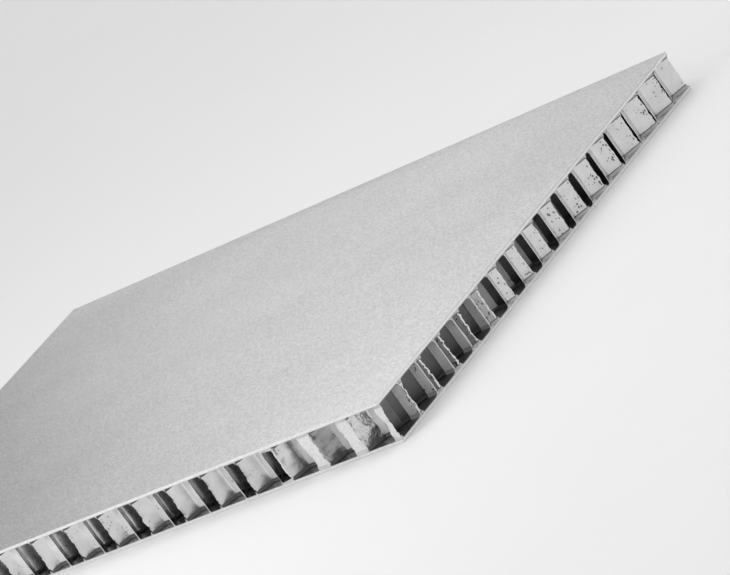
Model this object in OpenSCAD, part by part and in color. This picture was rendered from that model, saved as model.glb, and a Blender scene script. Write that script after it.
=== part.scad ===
// Aluminium honeycomb panel, a sawn sample that lies flat on its lower skin.
// Two flat skins are bonded by adhesive films to a core of folded foil ribbons.
// The ribbons run along the length and meet face to face at their node walls.
// The saw ran at a small angle to the ribbons, so each edge cuts the cells at a slowly changing place.
// X runs along the length, Y across the width and Z up.
// The origin lies under the middle of the lower skin.

/* [Panel] */
// Length of the panel, along X
panel_length = 300; // [120:1:450]
// Width of the panel, along Y
panel_width = 200; // [80:1:300]

/* [Skins] */
// Thickness of each aluminium skin
skin_thickness = 1; // [0.5:0.1:2]
// Thickness of the adhesive film under each skin
film_thickness = 0.15; // [0.05:0.05:0.4]

/* [Core] */
// Height of the core, from film to film
core_height = 12.7; // [6:0.1:40]
// Thickness of the foil
foil_thickness = 0.1; // [0.05:0.01:0.2]
// Length of one full fold, along a ribbon
fold_pitch = 16.7; // [12:0.1:24]
// Width of one cell, across two ribbons
cell_width = 12.14; // [8.5:0.01:20]
// Length of the flat node wall that is bonded to the next ribbon
node_length = 4.4; // [2.5:0.1:5.5]

/* [Saw cut] */
// Angle between the ribbons and the long edges, in degrees
cut_angle = 1; // [0:0.1:2]
// Distance of the first row of node walls behind the front edge, at the front right corner
first_row_depth = 0.68; // [0.3:0.01:3]
// Distance of the first node wall's middle from the right edge
first_node_inset = 2.68; // [0:0.01:8]
// Lean of the rows of nodes away from square with the ribbons, in degrees
row_lean = 0.12; // [0:0.01:1]
// Distance that the saw dragged the front ribbon towards the right edge
saw_drag = 1.8; // [0:0.1:2.4]
// Share of that drag that each next ribbon keeps
drag_kept = 0.27; // [0:0.01:0.6]

/* [Hidden] */
film_z = skin_thickness;
core_z = film_z + film_thickness;
upper_film_z = core_z + core_height;
upper_skin_z = upper_film_z + film_thickness;

// A ribbon is as wide as half a cell, so that neighbours touch at their node walls
ribbon_width = cell_width / 2;
fold_height = (ribbon_width - foil_thickness) / 2;
wall_run = fold_pitch / 2 - node_length;
wall_angle = atan2(2 * fold_height, wall_run);
mitre = foil_thickness / 2 * tan(wall_angle / 2);

// The ribbons are laid out from the first node wall at the front right corner
layout_x = panel_length / 2 - first_node_inset;
layout_y = first_row_depth - panel_width / 2;
far_reach = (panel_width - first_row_depth) * cos(cut_angle) + (panel_length - first_node_inset) * sin(cut_angle);
ribbon_count = ceil(far_reach / ribbon_width);
fold_count = ceil(panel_length / fold_pitch) + 2;

function ribbon_name(k) = str("foil_ribbon_", k < 10 ? "0" : "", k);
ribbon_names = [for (k = [1:ribbon_count]) ribbon_name(k)];

// Middle of ribbon k, across the ribbons
function ribbon_middle(k) = (k - 0.5) * ribbon_width;

// Place of ribbon k along itself: half a fold on from its neighbour, with the lean and the drag
function ribbon_start(k) =
    -(k % 2) * fold_pitch / 2 - ribbon_middle(k) * tan(row_lean) + saw_drag * pow(drag_kept, k - 1);

// One face of ribbon k from end to end: side is 1 for the far face and -1 for the near face
function ribbon_face(k, side) = [
    for (fold = [-fold_count:1])
        let (
            x = ribbon_start(k) + fold * fold_pitch,
            shift = side * foil_thickness / 2,
            crest = ribbon_middle(k) + fold_height + shift,
            trough = ribbon_middle(k) - fold_height + shift,
            half_node = node_length / 2 + side * mitre,
            half_trough = node_length / 2 - side * mitre
        )
        each [
            [x - half_node, crest],
            [x + half_node, crest],
            [x + fold_pitch / 2 - half_trough, trough],
            [x + fold_pitch / 2 + half_trough, trough]
        ]
];

function reversed(points) = [for (i = [len(points) - 1:-1:0]) points[i]];

module panel_outline() {
    square([panel_length, panel_width], center = true);
}

module skin(z) {
    color("silver")
        translate([0, 0, z])
            linear_extrude(skin_thickness) panel_outline();
}

module film(z) {
    color("darkgray")
        translate([0, 0, z])
            linear_extrude(film_thickness) panel_outline();
}

module lower_skin() {
    skin(0);
}

module lower_film() {
    film(film_z);
}

module upper_film() {
    film(upper_film_z);
}

module upper_skin() {
    skin(upper_skin_z);
}

// One folded foil ribbon, sawn off at the panel's edges
module foil_ribbon(k) {
    color("gainsboro")
        translate([0, 0, core_z])
            linear_extrude(core_height)
                intersection() {
                    panel_outline();
                    translate([layout_x, layout_y])
                        rotate(cut_angle)
                            polygon(concat(ribbon_face(k, 1), reversed(ribbon_face(k, -1))));
                }
}

lower_skin();
lower_film();
upper_film();
upper_skin();
for (k = [1:ribbon_count])
    foil_ribbon(k);
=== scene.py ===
import math

import bmesh
import bpy
from mathutils import Matrix, Vector, noise


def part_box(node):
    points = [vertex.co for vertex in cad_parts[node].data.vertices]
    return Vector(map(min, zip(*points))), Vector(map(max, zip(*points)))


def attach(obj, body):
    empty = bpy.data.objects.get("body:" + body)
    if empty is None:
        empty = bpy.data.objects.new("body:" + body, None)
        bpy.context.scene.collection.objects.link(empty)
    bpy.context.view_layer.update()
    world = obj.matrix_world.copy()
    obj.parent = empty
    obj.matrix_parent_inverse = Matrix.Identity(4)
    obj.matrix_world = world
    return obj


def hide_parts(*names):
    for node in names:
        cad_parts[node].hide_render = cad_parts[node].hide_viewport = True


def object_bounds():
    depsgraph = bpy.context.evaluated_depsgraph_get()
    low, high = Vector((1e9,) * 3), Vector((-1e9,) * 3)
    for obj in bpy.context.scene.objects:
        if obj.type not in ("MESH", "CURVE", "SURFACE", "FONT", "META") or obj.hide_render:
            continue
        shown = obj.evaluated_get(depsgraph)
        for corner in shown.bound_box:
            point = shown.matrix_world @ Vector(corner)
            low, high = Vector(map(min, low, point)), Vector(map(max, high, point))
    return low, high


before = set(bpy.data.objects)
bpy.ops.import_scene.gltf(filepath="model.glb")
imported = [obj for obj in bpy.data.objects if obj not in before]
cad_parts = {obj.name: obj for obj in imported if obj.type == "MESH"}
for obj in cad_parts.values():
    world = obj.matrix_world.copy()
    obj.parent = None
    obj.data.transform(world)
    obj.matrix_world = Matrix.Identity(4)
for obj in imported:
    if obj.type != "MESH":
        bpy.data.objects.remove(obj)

bl_info = {
    "name": "Aluminium honeycomb panel",
    "version": (1, 0, 0),
    "blender": (4, 5, 0),
    "location": "3D View > Sidebar > Honeycomb",
    "description": "Models a sawn sample of aluminium honeycomb panel and its studio",
    "category": "Object",
}

MM = 0.001
IMAGE_WIDTH_PX = 730
SENSOR_WIDTH = 36.0
CAD_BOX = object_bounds()
PANEL_LOW, PANEL_HIGH = (Vector(corner) for corner in CAD_BOX)
RIBBON_NODES = sorted(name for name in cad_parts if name.startswith("foil_ribbon_"))
CORE_LOW_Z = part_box(RIBBON_NODES[0])[0][2]
CORE_HIGH_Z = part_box(RIBBON_NODES[0])[1][2]
CORE_HEIGHT = CORE_HIGH_Z - CORE_LOW_Z
TINY = 1e-6

# Materials of the ribbons and of the adhesive, in the order of their slots; some are lighter or darker
# copies that carry painted light and shade
BRIGHT, TORN, PAINTED_SHADE, LIT_MATT, CRUMPLED, HALF_SHADE, SHADED = range(7)
CLEAR, FILLET, SAWN_THROUGH, DEEP_SHADE, SHADED_FILLET = range(5)

# Depths behind the front edge at which foil or adhesive changes its finish, its shape or its painted light
# and shade
RUBBED_FILLET_END = 1.5 * MM
FRONT_FILM_END = 6 * MM
CELL_FILM_START = 10 * MM
FRONT_CELLS_END = 7 * MM
FRONT_NODES_END = 7.5 * MM
SECOND_ROW_START = 9.3 * MM
SECOND_ROW_SHADE = 10.5 * MM
SECOND_ROW_END = 13 * MM
LAST_HALF_SHADE_START = 60 * MM
LIT_AND_SHADED_SLOTS_END = 62 * MM
FRAYED_END = 66 * MM
LAST_HALF_SHADE_END = 67 * MM
FULL_FILLETS_END = 70 * MM

# Depths behind the right edge at which the foil changes its finish or its painted light and shade
PITTED_END = 3 * MM
POCKET_END = 4.2 * MM
SLOT_END = 16 * MM
CRUMPLED_END = 19 * MM
HALF_SHADE_END = 46 * MM

# Dents, tears and burrs of the foil beside the saw cuts
DENTED_DEPTH = 12 * MM
TORN_DEPTH = 3 * MM
CORNER_REACH = 62 * MM
LIGHT_DENT_MM = 0.10
CORNER_DENT_MM = 0.8
LONG_DENT = 4.5 * MM
SHORT_DENT = 1.7 * MM
TEAR_WAVE = 2.2 * MM
TEAR_TOOTH = 0.7 * MM
TEAR_DRIFT = 30 * MM
FAR_CORNER_REACH = 9 * MM
HELD_END = 0.7 * MM
FRAY_SIZE = 1.1 * MM
FRAYED_BURR = 1.7
BURR_WIDTH = 0.09 * MM
REFINED_DEPTHS_MM = (0.34, 0.6, 0.95, 2.2, 4.5, 6.2, 8)
REFINED_ROWS = 20
REFINED_BAND = 9 * MM

# Grid of the films along the side cuts, where their finish changes from cell to cell
FILM_BAND = 7 * MM
FILM_CUTS_ALONG_EDGE = 240
FILM_CUTS_BEHIND_EDGE = 13


def linear(hex_colour):
    """The linear colour of an sRGB hex value."""
    channels = [int(hex_colour[i:i + 2], 16) / 255 for i in (0, 2, 4)]
    return [c / 12.92 if c <= 0.04045 else ((c + 0.055) / 1.055) ** 2.4 for c in channels]


# Sizes and colours that a user would change


class HoneycombSizes(bpy.types.PropertyGroup):
    """Sizes of the core and of its sawn edges."""

    fold_pitch: bpy.props.FloatProperty(
        name="Fold pitch", description="Length of one full fold along a ribbon",
        default=16.7 * MM, unit="LENGTH")
    cell_width: bpy.props.FloatProperty(
        name="Cell width", description="Width of one cell across two ribbons",
        default=12.14 * MM, unit="LENGTH")
    node_length: bpy.props.FloatProperty(
        name="Node wall", description="Length of the flat wall that is bonded to the next ribbon",
        default=4.4 * MM, unit="LENGTH")
    foil_thickness: bpy.props.FloatProperty(
        name="Foil", description="Thickness of the foil",
        default=0.1 * MM, unit="LENGTH")
    bend_length: bpy.props.FloatProperty(
        name="Bend", description="Length of wall on each side of a fold that its bend takes up",
        default=0.36 * MM, unit="LENGTH")
    cut_angle: bpy.props.FloatProperty(
        name="Cut angle", description="Angle between the ribbons and the long edges",
        default=math.radians(1.0), unit="ROTATION")
    row_lean: bpy.props.FloatProperty(
        name="Row lean", description="Lean of the rows of nodes away from square with the ribbons",
        default=math.radians(0.12), unit="ROTATION")
    first_row_depth: bpy.props.FloatProperty(
        name="First row", description="Depth of the first row of node walls behind the front edge",
        default=0.68 * MM, unit="LENGTH")
    first_node_inset: bpy.props.FloatProperty(
        name="First node", description="Distance of the first node wall's middle from the right edge",
        default=2.68 * MM, unit="LENGTH")
    saw_drag: bpy.props.FloatProperty(
        name="Saw drag", description="Distance that the saw dragged the front ribbon",
        default=1.8 * MM, unit="LENGTH")
    drag_kept: bpy.props.FloatProperty(
        name="Drag kept", description="Share of the drag that each next ribbon keeps",
        default=0.27, subtype="FACTOR")
    burr_length: bpy.props.FloatProperty(
        name="Burr", description="Length of torn foil along a sawn edge",
        default=0.2 * MM, unit="LENGTH")
    rubbed_depth: bpy.props.FloatProperty(
        name="Rubbed depth", description="Depth behind the front edge to which the saw rubbed node walls",
        default=0.85 * MM, unit="LENGTH")
    fillet_height: bpy.props.FloatProperty(
        name="Fillet height", description="Height of the adhesive that creeps up the foil",
        default=1.0 * MM, unit="LENGTH")
    fillet_reach: bpy.props.FloatProperty(
        name="Fillet reach", description="Distance that the adhesive spreads from the foil",
        default=0.9 * MM, unit="LENGTH")


class HoneycombColours(bpy.types.PropertyGroup):
    """Colours of the panel and its floor, with lighter and darker copies of the foil and adhesive that
    carry painted light and shade.
    """

    skin: bpy.props.FloatVectorProperty(
        name="Skin", description="Mill finish of the two skins",
        default=linear("E0E0E0"), size=3, subtype="COLOR")
    sawn: bpy.props.FloatVectorProperty(
        name="Sawn edge", description="Fresh metal at the sawn edges of the skins",
        default=linear("FBFBFB"), size=3, subtype="COLOR")
    foil: bpy.props.FloatVectorProperty(
        name="Foil", description="Bright side of the core foil",
        default=linear("E0E0E0"), size=3, subtype="COLOR")
    # Painted shade: a darker copy of the foil for walls that should look dark, with a painted lighter band
    # along its top
    primed: bpy.props.FloatVectorProperty(
        name="Primed foil", description="Foil that still has its dark primer coat",
        default=linear("707070"), size=3, subtype="COLOR")
    # Painted light: a white, non-metal copy of the foil for walls that should look lit
    matt: bpy.props.FloatVectorProperty(
        name="Matt foil", description="Dull side of the foil, where adhesive has dried on it",
        default=linear("FAFAFA"), size=3, subtype="COLOR")
    # Painted shade: a half-dark copy of the foil for walls that should look half in shade
    dulled: bpy.props.FloatVectorProperty(
        name="Dulled foil", description="Foil whose bright side is half covered by primer",
        default=linear("B0B0B0"), size=3, subtype="COLOR")
    # Painted shade: a dark copy of the foil deep in the slots, painted darker towards the floor and lighter
    # towards its top
    shaded: bpy.props.FloatVectorProperty(
        name="Shaded foil", description="Primed foil deep in a slot, darker towards the floor",
        default=linear("606060"), size=3, subtype="COLOR")
    burr: bpy.props.FloatVectorProperty(
        name="Burr", description="Torn foil at the sawn edges",
        default=linear("F4F4F4"), size=3, subtype="COLOR")
    adhesive: bpy.props.FloatVectorProperty(
        name="Adhesive", description="Cured film adhesive",
        default=linear("C8C8C8"), size=3, subtype="COLOR")
    resin: bpy.props.FloatVectorProperty(
        name="Fillet resin", description="Adhesive where it is thick, along the foil",
        default=linear("C2C2C2"), size=3, subtype="COLOR")
    # Painted shade: darker adhesive on the floors, roofs and fillets inside closed cells, and a painted
    # contact shadow along the top of the pocket fillets
    deep_resin: bpy.props.FloatVectorProperty(
        name="Deep resin", description="Darker adhesive on the floor and roof of a whole cell",
        default=linear("606060"), size=3, subtype="COLOR")
    # Painted shade: the darkest adhesive, on the fillets at the foot of the dark slot walls
    shaded_resin: bpy.props.FloatVectorProperty(
        name="Shaded resin", description="Darkest adhesive, along the primed foil deep in a slot",
        default=linear("303030"), size=3, subtype="COLOR")
    sawn_resin: bpy.props.FloatVectorProperty(
        name="Sawn resin", description="Adhesive where the saw went through it",
        default=linear("D8D8D8"), size=3, subtype="COLOR")
    floor: bpy.props.FloatVectorProperty(
        name="Floor", description="Pale paper floor",
        default=linear("F0F0F0"), size=3, subtype="COLOR")


# Small helpers for modelling


def clear_selection():
    """Leaves edit mode and deselects everything."""
    if bpy.context.object and bpy.context.object.mode != "OBJECT":
        bpy.ops.object.mode_set(mode="OBJECT")
    bpy.ops.object.select_all(action="DESELECT")


def activate(piece):
    """Makes one object the only selected and active one."""
    clear_selection()
    piece.select_set(True)
    bpy.context.view_layer.objects.active = piece


def start_edit(piece):
    """Opens a piece in edit mode with all of it selected."""
    activate(piece)
    bpy.ops.object.mode_set(mode="EDIT")
    bpy.ops.mesh.select_all(action="SELECT")


def end_edit():
    """Goes back to object mode."""
    bpy.ops.object.mode_set(mode="OBJECT")


def select_where(piece, kind, test, needed=True):
    """Selects the vertices, edges or faces that pass a test, in edit mode, and counts them."""
    bpy.ops.mesh.select_mode(type={"verts": "VERT", "edges": "EDGE", "faces": "FACE"}[kind])
    bpy.ops.mesh.select_all(action="DESELECT")
    mesh = bmesh.from_edit_mesh(piece.data)
    chosen = [part for part in getattr(mesh, kind) if test(part)]
    if needed and not chosen:
        raise RuntimeError(f"{piece.name}: no {kind} found to work on")
    for part in chosen:
        part.select_set(True)
    mesh.select_flush_mode()
    bmesh.update_edit_mesh(piece.data)
    return len(chosen)


def apply_modifier(piece, kind, **settings):
    """Adds one modifier with its settings and applies it."""
    activate(piece)
    bpy.ops.object.modifier_add(type=kind)
    modifier = piece.modifiers[-1]
    for name, value in settings.items():
        setattr(modifier, name, value)
    bpy.ops.object.modifier_apply(modifier=modifier.name)


def copy_of(piece, name):
    """A copy with its own mesh."""
    twin = piece.copy()
    twin.data = piece.data.copy()
    twin.name = name
    twin.data.name = name
    bpy.context.scene.collection.objects.link(twin)
    return twin


def finish_piece(piece, materials, smooth_angle, nodes):
    activate(piece)
    bpy.ops.object.shade_smooth_by_angle(angle=smooth_angle)
    chosen = [polygon.material_index for polygon in piece.data.polygons]
    piece.data.materials.clear()
    for material in materials:
        piece.data.materials.append(material)
    piece.data.polygons.foreach_set("material_index", chosen)
    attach(piece, "root")
    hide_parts(*nodes)


# The four saw cuts: a point on each and its outward direction
SAW_CUTS = (
    (Vector((PANEL_HIGH.x, 0, 0)), Vector((1, 0, 0))),
    (Vector((PANEL_LOW.x, 0, 0)), Vector((-1, 0, 0))),
    (Vector((0, PANEL_LOW.y, 0)), Vector((0, -1, 0))),
    (Vector((0, PANEL_HIGH.y, 0)), Vector((0, 1, 0))),
)


def depth_behind(point, cut):
    """Distance of a point behind a saw cut, positive inside the panel."""
    spot, outward = cut
    return (spot - point).dot(outward)


def edge_depth(point):
    """Distance of a point behind the nearest saw cut."""
    return min(depth_behind(point, cut) for cut in SAW_CUTS)


def saw_off(piece, fill, threshold):
    """Cuts a piece off at the panel's four edges; points nearer than the threshold count as cut."""
    for spot, outward in SAW_CUTS:
        start_edit(piece)
        bpy.ops.mesh.bisect(
            plane_co=spot, plane_no=outward, clear_outer=True, use_fill=fill, threshold=threshold)
        end_edit()


# Materials


def add_node(material, kind, links=(), **settings):
    """Adds a shader node, sets its values and links its inputs."""
    tree = material.node_tree
    node = tree.nodes.new(kind)
    for name, value in settings.items():
        if name == "stops":
            ramp = node.color_ramp.elements
            ramp[0].position = value[0][0]
            ramp[1].position = value[1][0]
            ramp[0].color = (*[value[0][1]] * 3, 1)
            ramp[1].color = (*[value[1][1]] * 3, 1)
        elif name in node.inputs:
            node.inputs[name].default_value = value
        else:
            setattr(node, name, value)
    for socket, source in links:
        tree.links.new(source, node.inputs[socket])
    return node


def new_material(name):
    """An empty node material and its output node."""
    material = bpy.data.materials.new(name)
    material.use_nodes = True
    material.node_tree.nodes.clear()
    return material, add_node(material, "ShaderNodeOutputMaterial")


def object_pattern(material, scale):
    """Object coordinates in pattern units: scale gives how many fit in a metre on each axis."""
    spot = add_node(material, "ShaderNodeTexCoord")
    mapping = add_node(material, "ShaderNodeMapping", links=[("Vector", spot.outputs["Object"])])
    mapping.inputs["Scale"].default_value = scale
    return mapping.outputs["Vector"]


def per_mm(size):
    """How many patterns of that size in millimetres fit in a metre."""
    return 1.0 / (size * MM)


def tinted(material, colour, greys):
    """A colour multiplied by the grey patterns that nodes give, in turn."""
    factor, first, second, product = 0, 6, 7, 2
    result = None
    for grey in greys:
        mix = add_node(material, "ShaderNodeMix", data_type="RGBA", blend_type="MULTIPLY")
        mix.inputs[factor].default_value = 1.0
        material.node_tree.links.new(grey.outputs[0], mix.inputs[second])
        if result is None:
            mix.inputs[first].default_value = (*colour, 1)
        else:
            material.node_tree.links.new(result, mix.inputs[first])
        result = mix.outputs[product]
    return result


def mill_finish_aluminium(colour):
    """Rolled aluminium sheet: an even satin grey with fine grain and faint broad clouds."""
    material, output = new_material("mill_finish_aluminium")
    # Real rolling grain is finer than a pixel, so it is drawn just coarse enough to show
    grain = add_node(
        material, "ShaderNodeTexNoise",
        links=[("Vector", object_pattern(material, (per_mm(0.85), per_mm(0.75), per_mm(0.85))))],
        Scale=1.0, Detail=5.0, Roughness=0.7)
    cloud = add_node(
        material, "ShaderNodeTexNoise",
        links=[("Vector", object_pattern(material, (per_mm(46), per_mm(24), per_mm(40))))],
        Scale=1.0, Detail=3.0, Roughness=0.5)
    grain_grey = add_node(
        material, "ShaderNodeValToRGB", links=[("Fac", grain.outputs["Fac"])],
        stops=[(0.36, 0.67), (0.62, 1.0)])
    cloud_grey = add_node(
        material, "ShaderNodeValToRGB", links=[("Fac", cloud.outputs["Fac"])],
        stops=[(0.30, 0.94), (0.70, 1.0)])
    rough = add_node(
        material, "ShaderNodeMapRange", links=[("Value", grain.outputs["Fac"])],
        **{"From Min": 0.3, "From Max": 0.7, "To Min": 0.40, "To Max": 0.50})
    bump = add_node(
        material, "ShaderNodeBump", links=[("Height", grain.outputs["Fac"])],
        Strength=0.25, Distance=0.05 * MM)
    shader = add_node(
        material, "ShaderNodeBsdfPrincipled",
        links=[
            ("Base Color", tinted(material, colour, [grain_grey, cloud_grey])),
            ("Roughness", rough.outputs["Result"]),
            ("Normal", bump.outputs["Normal"]),
        ],
        Metallic=1.0)
    material.node_tree.links.new(shader.outputs["BSDF"], output.inputs["Surface"])
    return material


def sawn_aluminium(colour):
    """Freshly sawn sheet edge: bright metal with short upright saw marks."""
    material, output = new_material("sawn_aluminium")
    # Real saw marks are closer together, so they are drawn just coarse enough to show
    marks = add_node(
        material, "ShaderNodeTexNoise",
        links=[("Vector", object_pattern(material, (per_mm(0.5), per_mm(0.5), per_mm(3.0))))],
        Scale=1.0, Detail=4.0, Roughness=0.6)
    grey = add_node(
        material, "ShaderNodeValToRGB", links=[("Fac", marks.outputs["Fac"])],
        stops=[(0.32, 0.84), (0.62, 1.0)])
    bump = add_node(
        material, "ShaderNodeBump", links=[("Height", marks.outputs["Fac"])],
        Strength=0.35, Distance=0.06 * MM)
    shader = add_node(
        material, "ShaderNodeBsdfPrincipled",
        links=[("Base Color", tinted(material, colour, [grey])), ("Normal", bump.outputs["Normal"])],
        Metallic=0.9, Roughness=0.35)
    material.node_tree.links.new(shader.outputs["BSDF"], output.inputs["Surface"])
    return material


def core_foil(name, colour, metallic, roughness, lit_top=None, dent_size=4.5, dent_height=0.25):
    """Thin aluminium foil: a bright soft sheen, faintly dented, with small dark pits in clusters.

    lit_top gives the height in metres and the level of two stops, for painted light and shade that makes a
    wall lighter at its top.
    """
    material, output = new_material(name)
    dents = add_node(
        material, "ShaderNodeTexNoise",
        links=[("Vector", object_pattern(material, (per_mm(dent_size),) * 3))],
        Scale=1.0, Detail=3.0, Roughness=0.55)
    pits = add_node(
        material, "ShaderNodeTexVoronoi",
        links=[("Vector", object_pattern(material, (per_mm(1.0), per_mm(1.0), per_mm(1.25))))],
        Scale=1.0, Randomness=1.0)
    spot = add_node(
        material, "ShaderNodeSeparateXYZ", links=[("Vector", object_pattern(material, (1.0, 1.0, 1.0)))])
    beside_cut = add_node(
        material, "ShaderNodeMapRange", links=[("Value", spot.outputs["X"])],
        **{"From Min": PANEL_HIGH.x - PITTED_END, "From Max": PANEL_HIGH.x, "To Min": 0.0, "To Max": -0.17})
    scatter = add_node(
        material, "ShaderNodeMath", operation="ADD",
        links=[(0, pits.outputs["Distance"]), (1, dents.outputs["Fac"])])
    cluster = add_node(
        material, "ShaderNodeMath", operation="ADD",
        links=[(0, scatter.outputs["Value"]), (1, beside_cut.outputs["Result"])])
    haze = add_node(
        material, "ShaderNodeValToRGB", links=[("Fac", dents.outputs["Fac"])],
        stops=[(0.28, 0.86), (0.70, 1.0)])
    spots = add_node(
        material, "ShaderNodeValToRGB", links=[("Fac", cluster.outputs["Value"])],
        stops=[(0.55, 0.2), (0.61, 1.0)])
    greys = [haze, spots]
    # Painted light and shade: a ramp up the wall's height
    if lit_top:
        greys.append(add_node(
            material, "ShaderNodeValToRGB", links=[("Fac", spot.outputs["Z"])], stops=lit_top))
    bump = add_node(
        material, "ShaderNodeBump", links=[("Height", dents.outputs["Fac"])],
        Strength=dent_height, Distance=0.25 * MM)
    shader = add_node(
        material, "ShaderNodeBsdfPrincipled",
        links=[
            ("Base Color", tinted(material, colour, greys)),
            ("Normal", bump.outputs["Normal"]),
        ],
        Metallic=metallic, Roughness=roughness)
    material.node_tree.links.new(shader.outputs["BSDF"], output.inputs["Surface"])
    return material


def torn_foil(colour):
    """Torn foil along a saw cut: many small bright facets that scatter the light."""
    material, output = new_material("torn_foil")
    facets = add_node(
        material, "ShaderNodeTexNoise",
        links=[("Vector", object_pattern(material, (per_mm(0.7),) * 3))],
        Scale=1.0, Detail=3.0, Roughness=0.7)
    grey = add_node(
        material, "ShaderNodeValToRGB", links=[("Fac", facets.outputs["Fac"])],
        stops=[(0.34, 0.82), (0.55, 1.0)])
    bump = add_node(
        material, "ShaderNodeBump", links=[("Height", facets.outputs["Fac"])],
        Strength=0.6, Distance=0.2 * MM)
    shader = add_node(
        material, "ShaderNodeBsdfPrincipled",
        links=[("Base Color", tinted(material, colour, [grey])), ("Normal", bump.outputs["Normal"])],
        Metallic=0.35, Roughness=0.5)
    material.node_tree.links.new(shader.outputs["BSDF"], output.inputs["Surface"])
    return material


def film_adhesive(name, colour, metallic, roughness, front_shade_level):
    """Cured film adhesive: glossy on the bright skin, a grey resin where thick, with painted shade that
    darkens it at the front.
    """
    material, output = new_material(name)
    lumps = add_node(
        material, "ShaderNodeTexNoise",
        links=[("Vector", object_pattern(material, (per_mm(2.4),) * 3))],
        Scale=1.0, Detail=3.0, Roughness=0.5)
    grey = add_node(
        material, "ShaderNodeValToRGB", links=[("Fac", lumps.outputs["Fac"])],
        stops=[(0.3, 0.84), (0.7, 1.0)])
    spot = add_node(
        material, "ShaderNodeSeparateXYZ", links=[("Vector", object_pattern(material, (1.0, 1.0, 1.0)))])
    # Painted shade: darkens the adhesive in the front row of cells
    front = add_node(
        material, "ShaderNodeMapRange", links=[("Value", spot.outputs["Y"])],
        **{
            "From Min": PANEL_LOW.y + FRONT_FILM_END, "From Max": PANEL_LOW.y + CELL_FILM_START,
            "To Min": front_shade_level, "To Max": 1.0,
        })
    bump = add_node(
        material, "ShaderNodeBump", links=[("Height", lumps.outputs["Fac"])],
        Strength=0.2, Distance=0.08 * MM)
    shader = add_node(
        material, "ShaderNodeBsdfPrincipled",
        links=[
            ("Base Color", tinted(material, colour, [grey, front])),
            ("Normal", bump.outputs["Normal"]),
        ],
        Metallic=metallic, Roughness=roughness)
    material.node_tree.links.new(shader.outputs["BSDF"], output.inputs["Surface"])
    return material


def floor_paper(colour):
    """Pale seamless paper: an even matt white."""
    material, output = new_material("floor_paper")
    fibre = add_node(
        material, "ShaderNodeTexNoise",
        links=[("Vector", object_pattern(material, (per_mm(60),) * 3))],
        Scale=1.0, Detail=2.0)
    grey = add_node(
        material, "ShaderNodeValToRGB", links=[("Fac", fibre.outputs["Fac"])],
        stops=[(0.3, 0.99), (0.7, 1.0)])
    shader = add_node(
        material, "ShaderNodeBsdfDiffuse", links=[("Color", tinted(material, colour, [grey]))])
    material.node_tree.links.new(shader.outputs["BSDF"], output.inputs["Surface"])
    return material


# The folded core


def core_place(sizes):
    """The move from the core's own axes, along and across the ribbons, into the panel."""
    corner = Vector((
        PANEL_HIGH.x - sizes.first_node_inset,
        PANEL_LOW.y + sizes.first_row_depth,
        (CORE_LOW_Z + CORE_HIGH_Z) / 2,
    ))
    return Matrix.Translation(corner) @ Matrix.Rotation(sizes.cut_angle, 4, "Z")


def ribbon_middle(sizes, number):
    """Middle of ribbon number (from 1), along and across the ribbons, at one of its far node walls."""
    across = (number - 0.5) * sizes.cell_width / 2
    along = -(number % 2) * sizes.fold_pitch / 2 - across * math.tan(sizes.row_lean)
    along += sizes.saw_drag * sizes.drag_kept ** (number - 1)
    return Vector((along, across, 0))


def ribbon_place(sizes, number):
    """The move that lays a ribbon of the core into the panel."""
    return core_place(sizes) @ Matrix.Translation(ribbon_middle(sizes, number))


def cell_middle(sizes, point):
    """Middle of the cell that a point lies in."""
    own = core_place(sizes).inverted() @ point
    width = sizes.cell_width / 2
    best_room = -1.0
    middle = own
    for row in (math.floor(own.y / width), math.floor(own.y / width) + 1):
        along = own.x - ribbon_middle(sizes, max(row, 0) + 1).x
        off_middle = (along + sizes.fold_pitch / 2) % sizes.fold_pitch - sizes.fold_pitch / 2
        lean = (sizes.fold_pitch / 2 - sizes.node_length) * abs(own.y - row * width) / width
        room = (sizes.fold_pitch - sizes.node_length) / 2 - lean - abs(off_middle)
        if room > best_room:
            best_room = room
            middle = Vector((own.x - off_middle, row * width, own.z))
    return core_place(sizes) @ middle


def sawn_open(middle):
    """Tells whether a cell lost its middle to a side cut, which leaves it a shallow pocket."""
    return not PANEL_LOW.x < middle.x < PANEL_HIGH.x


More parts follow.
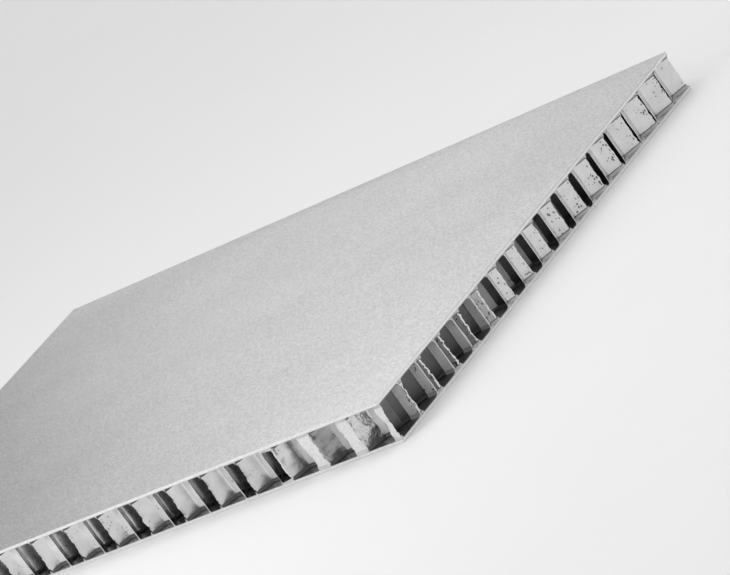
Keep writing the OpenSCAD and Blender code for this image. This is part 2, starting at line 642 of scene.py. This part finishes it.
def folded_strip(sizes):
    """A long folded strip of foil without thickness, extruded wall by wall and rounded at its bends."""
    clear_selection()
    bpy.ops.mesh.primitive_plane_add(size=CORE_HEIGHT, rotation=(math.pi / 2, 0, 0))
    strip = bpy.context.object
    strip.name = "folded_strip"
    bpy.ops.object.transform_apply(location=True, rotation=True, scale=True)
    fold_height = (sizes.cell_width / 2 - sizes.foil_thickness) / 2
    wall_run = sizes.fold_pitch / 2 - sizes.node_length
    start_edit(strip)
    select_where(strip, "verts", lambda v: v.co.x > 0)
    bpy.ops.mesh.delete(type="VERT")
    bpy.ops.mesh.select_all(action="SELECT")
    bpy.ops.transform.translate(value=(CORE_HEIGHT / 2, fold_height, 0))
    walls = (
        (sizes.node_length / 2, 0),
        (wall_run, -2 * fold_height),
        (sizes.node_length, 0),
        (wall_run, 2 * fold_height),
        (sizes.node_length / 2, 0),
    )
    for run, rise in walls:
        bpy.ops.mesh.extrude_region_move(TRANSFORM_OT_translate={"value": (run, rise, 0)})
    margin = sizes.node_length / 4
    select_where(strip, "edges", lambda e: (
        abs(e.verts[0].co.x - e.verts[1].co.x) < 0.1 * TINY
        and margin < e.verts[0].co.x < sizes.fold_pitch - margin))
    bpy.ops.mesh.bevel(offset=sizes.bend_length, segments=3, affect="EDGES")
    end_edit()
    length = PANEL_HIGH.x - PANEL_LOW.x
    folds = math.ceil(length / sizes.fold_pitch) + 3
    apply_modifier(
        strip, "ARRAY", count=folds, use_relative_offset=False, use_constant_offset=True,
        constant_offset_displace=(sizes.fold_pitch, 0, 0), use_merge_vertices=True,
        merge_threshold=0.001 * MM)
    strip.data.transform(Matrix.Translation(((2 - folds) * sizes.fold_pitch, 0, 0)))
    return strip


def refine_edges(piece, depths, rows, band):
    """Cuts extra columns and rows into the walls near the saw cuts, for dents and burrs."""
    for cut in SAW_CUTS:
        spot, outward = cut
        for depth in depths:
            start_edit(piece)
            near = select_where(piece, "faces", lambda f: min(
                depth_behind(v.co, cut) for v in f.verts) < depth, needed=False)
            if near:
                bpy.ops.mesh.bisect(plane_co=spot - outward * depth, plane_no=outward)
            end_edit()
    for row in range(1, rows):
        level = CORE_LOW_Z + CORE_HEIGHT * row / rows
        start_edit(piece)
        select_where(piece, "faces", lambda f: edge_depth(f.calc_center_median()) < band)
        bpy.ops.mesh.bisect(plane_co=(0, 0, level), plane_no=(0, 0, 1))
        end_edit()


def wall_kind(normal):
    """Tells which wall of a fold a face belongs to: node, fore (seen from the right) or back."""
    plan = Vector((normal.x, normal.y, 0))
    if plan.length < TINY:
        return "none"
    plan.normalize()
    across_ribbons = 0.9
    if abs(plan.y) > across_ribbons:
        return "node"
    return "fore" if plan.x * plan.y < 0 else "back"


def foil_look(centre, normal, sizes):
    """Material index of a wall face, by the kind of wall and its depth behind the saw cuts: the torn burr,
    the plain or crumpled foil, or a copy with painted light or painted shade.
    """
    kind = wall_kind(normal)
    from_front = centre.y - PANEL_LOW.y
    from_right = PANEL_HIGH.x - centre.x
    frayed = noise.noise(centre / FRAY_SIZE) > -0.1 and from_front < FRAYED_END
    if edge_depth(centre) < (FRAYED_BURR if frayed else 1.0) * sizes.burr_length:
        return TORN
    if kind == "node" and from_front < sizes.rubbed_depth:
        return TORN
    # Painted light on the node walls of the front row
    if kind == "node" and from_front < FRONT_NODES_END:
        return LIT_MATT
    # Painted shade on the front row of cells, apart from the crumpled walls near the corner
    if from_front < FRONT_CELLS_END and from_right < HALF_SHADE_END:
        lit = CRUMPLED if from_right < CRUMPLED_END else HALF_SHADE
        return lit if kind == "fore" else PAINTED_SHADE
    # Painted half shade on one pocket wall along the right edge
    if kind == "fore" and from_right < POCKET_END and LAST_HALF_SHADE_START < from_front < LAST_HALF_SHADE_END:
        return HALF_SHADE
    # Painted light on the node and back walls of the slots along the right edge, painted shade on their
    # fore walls
    if from_right < SLOT_END and from_front < LIT_AND_SHADED_SLOTS_END:
        if kind != "fore":
            return LIT_MATT
        return SHADED if from_right > POCKET_END and from_front > SECOND_ROW_SHADE else PAINTED_SHADE
    if kind == "back" and (from_front < SECOND_ROW_END or from_right < SLOT_END):
        return BRIGHT
    # Painted shade on the other node and back walls and on the second row; painted light on fore walls in
    # the slot band
    if kind != "fore" or SECOND_ROW_START < from_front < SECOND_ROW_END:
        return PAINTED_SHADE
    return LIT_MATT if POCKET_END < from_right < SLOT_END else BRIGHT


def dent_shift(place, side, held, seed):
    """Move of a point of a wall by the dents, which are deepest at the near corner."""
    corner = Vector((PANEL_HIGH.x, PANEL_LOW.y, 0))
    near_corner = max(0.0, 1 - (place - corner).length / CORNER_REACH)
    front = 1.0 if place.y - PANEL_LOW.y < FRONT_CELLS_END else 0.0
    fade = 1 - edge_depth(place) / DENTED_DEPTH
    dent = (LIGHT_DENT_MM + CORNER_DENT_MM * near_corner * front) * MM * held * fade
    shift = side * dent * 1.6 * noise.noise(place / LONG_DENT + Vector((seed * 7.3, 0, 0)))
    shift += side * dent * 0.5 * noise.noise(place / SHORT_DENT + Vector((0, seed * 4.9, 0)))
    return shift


def tear_shift(place, side, held, seed, cut):
    """Move of a point of a wall by the tear and the curled burr that one saw cut left."""
    reach = depth_behind(place, cut)
    weight = (1 - max(reach, 0) / TORN_DEPTH) ** 2
    wave = noise.noise(Vector((place.z / TEAR_WAVE, seed * 3.7, place.x / TEAR_DRIFT)))
    tooth = noise.noise(Vector((place.z / TEAR_TOOTH, seed * 5.1 + 40, place.y / TEAR_DRIFT)))
    frayed = 1.0 if place.y - PANEL_LOW.y < FRAYED_END else 0.5
    tear = max(0.0, 0.4 + frayed * (0.5 * wave + 0.6 * tooth)) * MM
    tear *= min(1.0, max(0.15, (PANEL_HIGH.y - place.y) / FAR_CORNER_REACH))
    curl = frayed * (0.2 + 0.6 * wave + 0.5 * tooth) * 0.4 * MM
    along = Vector((-side.y, side.x, 0))
    inward = along if along.dot(cut[1]) < 0 else -along
    ends = min(place.z - CORE_LOW_Z, CORE_HIGH_Z - place.z) / HELD_END
    return inward * tear * weight * min(1.0, max(0.0, ends)) + side * curl * weight ** 3 * held


def crumple_edges(piece, seed):
    """Dents the walls near the saw cuts, tears their edges and curls the burr."""
    mesh = bmesh.new()
    mesh.from_mesh(piece.data)
    mesh.normal_update()
    moves = {}
    for vertex in mesh.verts:
        place = vertex.co
        side = Vector((vertex.normal.x, vertex.normal.y, 0))
        if edge_depth(place) > DENTED_DEPTH or side.length < TINY:
            continue
        side.normalize()
        height = (place.z - CORE_LOW_Z) / CORE_HEIGHT
        held = max(0.0, math.sin(math.pi * min(max(height, 0.0), 1.0))) ** 0.5
        shift = dent_shift(place, side, held, seed)
        for cut in SAW_CUTS:
            if depth_behind(place, cut) <= TORN_DEPTH and wall_kind(side) != "back":
                shift += tear_shift(place, side, held, seed, cut)
        moves[vertex] = shift
    for vertex, shift in moves.items():
        vertex.co += shift
    mesh.to_mesh(piece.data)
    mesh.free()


def flare_cuts(piece, width):
    """Thickens the foil along the saw cuts to a burr."""
    at_cut = 0.04 * MM
    mesh = bmesh.new()
    mesh.from_mesh(piece.data)
    mesh.normal_update()
    for vertex in mesh.verts:
        for cut in SAW_CUTS:
            if depth_behind(vertex.co, cut) < at_cut:
                side = vertex.normal - cut[1] * vertex.normal.dot(cut[1])
                side.z = 0
                if side.length > TINY:
                    vertex.co += side.normalized() * width
    mesh.to_mesh(piece.data)
    mesh.free()


class HONEYCOMB_OT_ribbons(bpy.types.Operator):
    """Folds the foil ribbons of the core and saws them off"""

    bl_idname = "honeycomb.ribbons"
    bl_label = "Foil ribbons"

    def execute(self, context):
        sizes = context.scene.honeycomb_sizes
        colours = context.scene.honeycomb_colours
        # After the foil and its torn burr come copies with painted light and shade: a dark one with a
        # lighter top, a white matt one, a crumpled one that only has deeper dents, a half-dark one, and a
        # dark one that darkens towards the floor
        materials = [
            core_foil("core_foil", colours.foil, metallic=1.0, roughness=0.22),
            torn_foil(colours.burr),
            core_foil(
                "primed_foil", colours.primed, metallic=1.0, roughness=0.34,
                lit_top=[(0.0110, 1.0), (0.0138, 2.0)]),
            core_foil("matt_foil", colours.matt, metallic=0.0, roughness=0.5),
            core_foil(
                "crumpled_foil", colours.foil, metallic=1.0, roughness=0.22,
                dent_size=1.6, dent_height=0.9),
            core_foil("dulled_foil", colours.dulled, metallic=1.0, roughness=0.22),
            core_foil(
                "shaded_foil", colours.shaded, metallic=1.0, roughness=0.34,
                lit_top=[(0.0012, 0.5), (0.0138, 1.5)]),
        ]
        strip = folded_strip(sizes)
        depths = [sizes.burr_length, *(depth * MM for depth in REFINED_DEPTHS_MM)]
        for number, node in enumerate(RIBBON_NODES, start=1):
            ribbon = copy_of(strip, f"ribbon_{number:02d}")
            ribbon.data.transform(ribbon_place(sizes, number))
            saw_off(ribbon, fill=False, threshold=0.1 * MM)
            refine_edges(ribbon, depths, REFINED_ROWS, REFINED_BAND)
            for polygon in ribbon.data.polygons:
                polygon.material_index = foil_look(polygon.center, polygon.normal, sizes)
            for material in materials:
                ribbon.data.materials.append(material)
            crumple_edges(ribbon, seed=number)
            apply_modifier(ribbon, "SOLIDIFY", thickness=sizes.foil_thickness, offset=0.0)
            flare_cuts(ribbon, BURR_WIDTH)
            finish_piece(ribbon, materials, math.radians(35), [node])
        bpy.data.objects.remove(strip)
        return {"FINISHED"}


class HONEYCOMB_OT_adhesive(bpy.types.Operator):
    """Lays the two adhesive films with the fillets that creep up the foil"""

    bl_idname = "honeycomb.adhesive"
    bl_label = "Adhesive films"

    def execute(self, context):
        sizes = context.scene.honeycomb_sizes
        colours = context.scene.honeycomb_colours
        # The last two are darker copies that carry painted shade, and each but the sawn resin is darkened
        # at the front as painted shade
        materials = [
            film_adhesive(
                "film_adhesive", colours.adhesive, metallic=0.85, roughness=0.24, front_shade_level=0.3),
            film_adhesive("fillet_resin", colours.resin, metallic=0.0, roughness=0.4, front_shade_level=0.2),
            film_adhesive("sawn_resin", colours.sawn_resin, metallic=0.0, roughness=0.6, front_shade_level=1.0),
            film_adhesive("deep_resin", colours.deep_resin, metallic=0.3, roughness=0.35, front_shade_level=0.6),
            film_adhesive(
                "shaded_resin", colours.shaded_resin, metallic=0.3, roughness=0.35, front_shade_level=0.6),
        ]
        strip = folded_strip(sizes)
        fillets = self.fillets(sizes, strip)
        upper = copy_of(fillets, "upper_adhesive")
        flip = Matrix.Diagonal((1, 1, -1, 1))
        upper.data.transform(Matrix.Translation((0, 0, CORE_LOW_Z + CORE_HIGH_Z)) @ flip)
        upper.data.flip_normals()
        fillets.name = "lower_adhesive"
        for piece, node in ((fillets, "lower_film"), (upper, "upper_film")):
            self.add_film(piece, node)
            for polygon in piece.data.polygons:
                polygon.material_index = self.look(sizes, polygon.center, polygon.normal)
            finish_piece(piece, materials, math.radians(40), [node])
        bpy.data.objects.remove(strip)
        return {"FINISHED"}

    def look(self, sizes, centre, normal):
        """Material index of a face of the adhesive, by its place in its cell, with painted shade inside
        closed cells and a painted contact shadow along the top of the pocket fillets.
        """
        rise = min(centre.z - CORE_LOW_Z, CORE_HIGH_Z - centre.z)
        from_front = centre.y - PANEL_LOW.y
        sawn = edge_depth(centre) < 0.02 * MM
        flat = abs(normal.z) >= 0.95
        inside = from_front >= FRONT_FILM_END
        middle = cell_middle(sizes, centre)
        beyond = centre.y > middle.y
        if rise < -0.01 * MM:
            return SAWN_THROUGH
        if sawn and inside and beyond:
            return SAWN_THROUGH
        # Painted shade on the adhesive inside cells that the saw left closed
        if inside and not sawn_open(middle):
            if flat or not beyond or from_front >= LIT_AND_SHADED_SLOTS_END:
                return DEEP_SHADE
            return {"node": FILLET, "fore": SHADED_FILLET}.get(wall_kind(normal), DEEP_SHADE)
        # Painted contact shadow: a dark band along the top of the fillets in sawn-open pockets
        if inside and not sawn and rise > sizes.fillet_height * 0.72:
            return DEEP_SHADE
        if sawn:
            return SAWN_THROUGH
        if flat:
            return CLEAR
        return SAWN_THROUGH if from_front < RUBBED_FILLET_END else FILLET

    def fillets(self, sizes, strip):
        """The flared feet of all ribbons on the lower film, in one mesh."""
        foot = copy_of(strip, "foot")
        low = -CORE_HEIGHT / 2
        top_line = sizes.fillet_height
        toe_line = sizes.fillet_height * 0.3
        # This cut marks off the band that gets the painted contact shadow
        shadow_line = sizes.fillet_height * 0.7
        start_edit(foot)
        for line in (top_line, toe_line, shadow_line):
            bpy.ops.mesh.select_all(action="SELECT")
            bpy.ops.mesh.bisect(
                plane_co=(0, 0, low + line), plane_no=(0, 0, 1), clear_outer=line == top_line)
        end_edit()
        apply_modifier(foot, "SOLIDIFY", thickness=sizes.foil_thickness * 1.3, offset=0.0)
        reach = sizes.fillet_reach
        spread = (reach, reach * 0.28, reach * 0.10, 0.0)
        halfway = (toe_line / 2, (toe_line + shadow_line) / 2, (shadow_line + top_line) / 2)
        aside_test = 0.3 * MM
        feet = []
        for number in range(1, len(RIBBON_NODES) + 1):
            feet.append(copy_of(foot, f"foot_{number:02d}"))
            feet[-1].data.transform(ribbon_place(sizes, number))
            mesh = bmesh.new()
            mesh.from_mesh(feet[-1].data)
            mesh.normal_update()
            for vertex in mesh.verts:
                level = sum(vertex.co.z - CORE_LOW_Z > bound for bound in halfway)
                side = Vector((vertex.normal.x, vertex.normal.y, 0))
                if side.length < TINY:
                    continue
                aside = side.normalized()
                beside = vertex.co + aside * aside_test
                middle = cell_middle(sizes, beside)
                full = sawn_open(middle)
                if FRONT_CELLS_END < beside.y - PANEL_LOW.y < FULL_FILLETS_END:
                    full = full or beside.y > middle.y
                vertex.co += aside * spread[level] * (1.0 if full else 0.5)
            mesh.to_mesh(feet[-1].data)
            mesh.free()
            saw_off(feet[-1], fill=True, threshold=0.001 * MM)
        bpy.data.objects.remove(foot)
        activate(feet[0])
        for twin in feet:
            twin.select_set(True)
        bpy.ops.object.join()
        return feet[0]

    def add_film(self, piece, node):
        """Joins the flat film to its fillets, with a grid on its inner face along the side cuts."""
        low, high = (Vector(corner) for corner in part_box(node))
        clear_selection()
        bpy.ops.mesh.primitive_cube_add(size=1, location=(low + high) / 2, scale=high - low)
        film = bpy.context.object
        bpy.ops.object.transform_apply(location=True, rotation=True, scale=True)
        inner_z = low.z if high.z > CORE_HIGH_Z else high.z
        start_edit(film)
        for spot, outward in SAW_CUTS[:2]:
            bpy.ops.mesh.select_all(action="SELECT")
            bpy.ops.mesh.bisect(plane_co=spot - outward * FILM_BAND, plane_no=outward)
        for axis, cuts in ((1, FILM_CUTS_ALONG_EDGE), (0, FILM_CUTS_BEHIND_EDGE)):
            select_where(film, "edges", lambda e: (
                abs(e.verts[0].co[axis] - e.verts[1].co[axis]) > 0.5 * FILM_BAND
                and all(abs(v.co.z - inner_z) < 0.01 * MM for v in e.verts)
                and all(abs(v.co.x) > PANEL_HIGH.x - 1.01 * FILM_BAND for v in e.verts)))
            bpy.ops.mesh.subdivide(number_cuts=cuts)
        end_edit()
        activate(piece)
        film.select_set(True)
        bpy.ops.object.join()


class HONEYCOMB_OT_skins(bpy.types.Operator):
    """Makes the two flat skins with their sawn edges"""

    bl_idname = "honeycomb.skins"
    bl_label = "Skins"

    def execute(self, context):
        colours = context.scene.honeycomb_colours
        eased_edge = 0.12 * MM
        materials = [mill_finish_aluminium(colours.skin), sawn_aluminium(colours.sawn)]
        for node, name in (("lower_skin", "lower_sheet"), ("upper_skin", "upper_sheet")):
            low, high = (Vector(corner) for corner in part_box(node))
            clear_selection()
            bpy.ops.mesh.primitive_cube_add(size=1, location=(low + high) / 2, scale=high - low)
            sheet = bpy.context.object
            sheet.name = name
            bpy.ops.object.transform_apply(location=True, rotation=True, scale=True)
            start_edit(sheet)
            bpy.ops.mesh.bevel(offset=eased_edge, segments=2, affect="EDGES")
            end_edit()
            if node == "upper_skin":
                self.hang_burr(sheet, low.z)
            for polygon in sheet.data.polygons:
                polygon.material_index = 1 if abs(polygon.normal.z) < 0.5 else 0
            for material in materials:
                sheet.data.materials.append(material)
            finish_piece(sheet, materials, math.radians(30), [node])
        return {"FINISHED"}

    def hang_burr(self, sheet, under_z):
        """Pulls a small tongue of metal down from the right edge, as the saw left it."""
        middle_y = PANEL_HIGH.y - 9.1 * MM
        half_width = 0.9 * MM
        rim = 0.2 * MM
        pull = Vector((0.15, 0, -0.6)) * MM
        for y in (-half_width, -half_width / 3, half_width / 3, half_width):
            start_edit(sheet)
            bpy.ops.mesh.bisect(plane_co=(0, middle_y + y, 0), plane_no=(0, 1, 0))
            end_edit()
        start_edit(sheet)
        select_where(sheet, "verts", lambda v: (
            abs(v.co.y - middle_y) < half_width / 2
            and v.co.x > PANEL_HIGH.x - rim
            and v.co.z < under_z + rim))
        bpy.ops.transform.translate(value=pull)
        end_edit()


# The studio


class HONEYCOMB_OT_stage(bpy.types.Operator):
    """Sets the floor, the soft lights and the camera"""

    bl_idname = "honeycomb.stage"
    bl_label = "Studio"

    def execute(self, context):
        self.floor(context.scene.honeycomb_colours)
        self.lights(context.scene)
        self.camera(context.scene)
        context.scene.view_settings.view_transform = "Standard"
        return {"FINISHED"}

    def floor(self, colours):
        """Lays a wide paper floor just under the lower skin."""
        width = 12.0
        gap = 0.05 * MM
        clear_selection()
        bpy.ops.mesh.primitive_plane_add(size=width, location=(0, 0, -gap))
        floor = bpy.context.object
        floor.name = "floor"
        bpy.ops.object.transform_apply(location=True, rotation=True, scale=True)
        floor.data.materials.append(floor_paper(colours.floor))

    def lights(self, scene):
        """Hangs soft square lamps round the panel in an evenly lit room."""
        world = bpy.data.worlds.new("studio")
        scene.world = world
        world.use_nodes = True
        room = world.node_tree.nodes["Background"]
        room.inputs["Color"].default_value = (*linear("F2F2F2"), 1)
        room.inputs["Strength"].default_value = 0.375
        # Name, place, target, width and power of each lamp, in metres and watts
        lamps = (
            ("overhead", (0.0, 0.0, 1.2), (0.0, 0.0, 0.0), 1.6, 9.0),
            ("overhead_pool", (0.06, -0.04, 0.7), (0.06, -0.04, 0.0), 0.5, 0.63),
            ("far_card", (-0.6, 0.83, 0.5), (0.07, 0.0, 0.0), 0.75, 1.15),
            ("front_pool", (0.05, -0.36, 0.3), (0.0, -0.15, 0.0), 0.3, 0.08),
            ("front_left_pool", (-0.12, -0.38, 0.22), (-0.1, -0.12, 0.0), 0.25, 0.42),
            ("right_low", (0.75, -0.05, 0.3), (0.15, 0.0, 0.0), 0.4, 0.34),
            ("corner_low", (0.6, -0.55, 0.3), (0.13, -0.09, 0.0), 0.35, 0.36),
        )
        for name, place, target, size, power in lamps:
            lamp = bpy.data.lights.new(name, "AREA")
            lamp.shape = "SQUARE"
            lamp.size = size
            lamp.energy = power
            lamp_object = bpy.data.objects.new(name, lamp)
            lamp_object.location = place
            lamp_object.visible_camera = False
            aim = Vector(target) - Vector(place)
            lamp_object.rotation_euler = aim.to_track_quat("-Z", "Y").to_euler()
            scene.collection.objects.link(lamp_object)

    def camera(self, scene):
        """Sets the camera that was fitted to the photograph's straight edges."""
        azimuth = math.radians(-44.759)
        elevation = math.radians(13.913)
        roll = math.radians(35.994)
        focal_px = 5403.4
        aim = Vector((76.43, -0.85, 15.17)) * MM
        distance = 1724.06 * MM
        ahead = Vector((
            math.sin(azimuth) * math.cos(elevation),
            math.cos(azimuth) * math.cos(elevation),
            -math.sin(elevation),
        ))
        level_right = ahead.cross(Vector((0, 0, 1))).normalized()
        level_up = level_right.cross(ahead)
        up = level_up * math.cos(roll) + level_right * math.sin(roll)
        right = ahead.cross(up)
        turn = Matrix((right, up, -ahead)).transposed().to_4x4()
        data = bpy.data.cameras.new("photo_camera")
        data.sensor_width = SENSOR_WIDTH
        data.lens = focal_px / IMAGE_WIDTH_PX * SENSOR_WIDTH
        data.clip_end = 50.0
        camera = bpy.data.objects.new("photo_camera", data)
        camera.matrix_world = Matrix.Translation(aim - ahead * distance) @ turn
        scene.collection.objects.link(camera)
        scene.camera = camera


class HONEYCOMB_PT_panel(bpy.types.Panel):
    """Lists the pieces of the honeycomb panel"""

    bl_idname = "HONEYCOMB_PT_panel"
    bl_label = "Honeycomb panel"
    bl_space_type = "VIEW_3D"
    bl_region_type = "UI"
    bl_category = "Honeycomb"

    def draw(self, context):
        for operator in OPERATORS:
            self.layout.operator(operator.bl_idname)
        for group in (context.scene.honeycomb_sizes, context.scene.honeycomb_colours):
            for name in group.__annotations__:
                self.layout.prop(group, name)


GROUPS = (HoneycombSizes, HoneycombColours)
OPERATORS = (
    HONEYCOMB_OT_skins,
    HONEYCOMB_OT_adhesive,
    HONEYCOMB_OT_ribbons,
    HONEYCOMB_OT_stage,
)
CLASSES = (*GROUPS, *OPERATORS, HONEYCOMB_PT_panel)


def register():
    """Adds the classes and the panel's settings to Blender."""
    for kind in CLASSES:
        bpy.utils.register_class(kind)
    bpy.types.Scene.honeycomb_sizes = bpy.props.PointerProperty(type=HoneycombSizes)
    bpy.types.Scene.honeycomb_colours = bpy.props.PointerProperty(type=HoneycombColours)


def unregister():
    """Takes the settings and the classes out again."""
    del bpy.types.Scene.honeycomb_colours
    del bpy.types.Scene.honeycomb_sizes
    for kind in reversed(CLASSES):
        bpy.utils.unregister_class(kind)


def main():
    """Builds the panel and its studio."""
    register()
    bpy.ops.honeycomb.skins()
    bpy.ops.honeycomb.adhesive()
    bpy.ops.honeycomb.ribbons()
    bpy.ops.honeycomb.stage()


if __name__ == "__main__":
    main()
